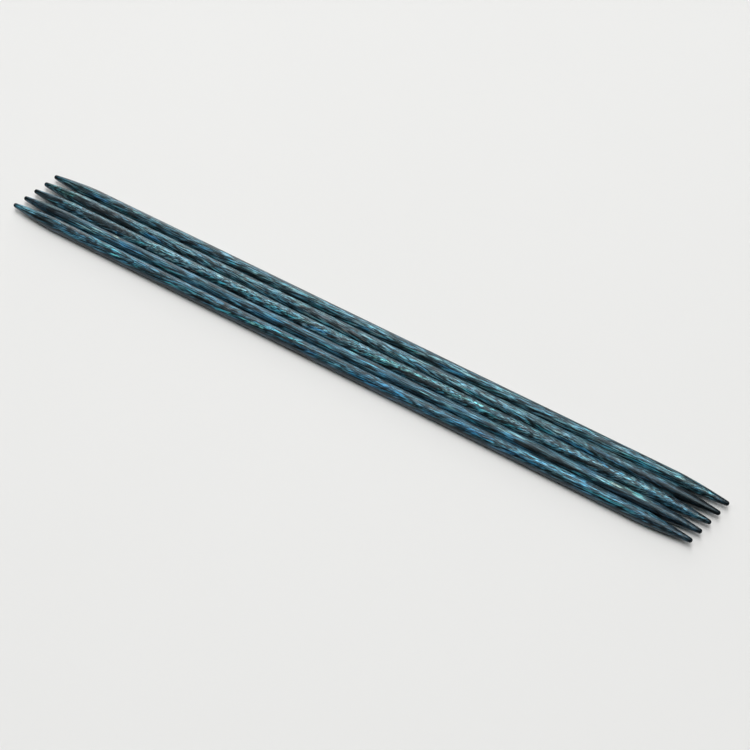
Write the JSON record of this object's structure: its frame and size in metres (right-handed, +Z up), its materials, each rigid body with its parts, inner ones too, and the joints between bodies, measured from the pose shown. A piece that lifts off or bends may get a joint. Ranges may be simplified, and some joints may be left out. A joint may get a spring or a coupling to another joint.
{
  "type": "double-pointed knitting needles",
  "caption": "Set of slim, straight wooden knitting needles, round in section and pointed at both ends, lying side by side; used in the round for socks, sleeves and hats.",
  "frame": {"origin": "on the table the needles rest on, under the middle of the set", "axes": "+X along the needles, +Y from the front needle (needle_1) to the back needle (needle_5), +Z up"},
  "size_m": [0.202, 0.0178, 0.0035],
  "materials": {
    "dyed_birch_1": "satin, blue teal with turquoise grain",
    "dyed_birch_2": "satin, steel blue with charcoal grain",
    "dyed_birch_3": "satin, turquoise with charcoal wedges",
    "dyed_birch_4": "satin, blue grey with brownish fibres",
    "dyed_birch_5": "satin, dark green teal"
  },
  "bodies": {
    "front_needle": {"needle_1": "dyed_birch_1"},
    "second_needle": {"needle_2": "dyed_birch_2"},
    "middle_needle": {"needle_3": "dyed_birch_3"},
    "fourth_needle": {"needle_4": "dyed_birch_4"},
    "back_needle": {"needle_5": "dyed_birch_5"}
  },
  "joints": [
    {"name": "front_needle_lift", "type": "slide", "parent": "middle_needle", "child": "front_needle", "axis": [0, 0, 1], "range_m": [0, 0.06]},
    {"name": "second_needle_lift", "type": "slide", "parent": "middle_needle", "child": "second_needle", "axis": [0, 0, 1], "range_m": [0, 0.06]},
    {"name": "fourth_needle_lift", "type": "slide", "parent": "middle_needle", "child": "fourth_needle", "axis": [0, 0, 1], "range_m": [0, 0.06]},
    {"name": "back_needle_lift", "type": "slide", "parent": "middle_needle", "child": "back_needle", "axis": [0, 0, 1], "range_m": [0, 0.06]}
  ]
}
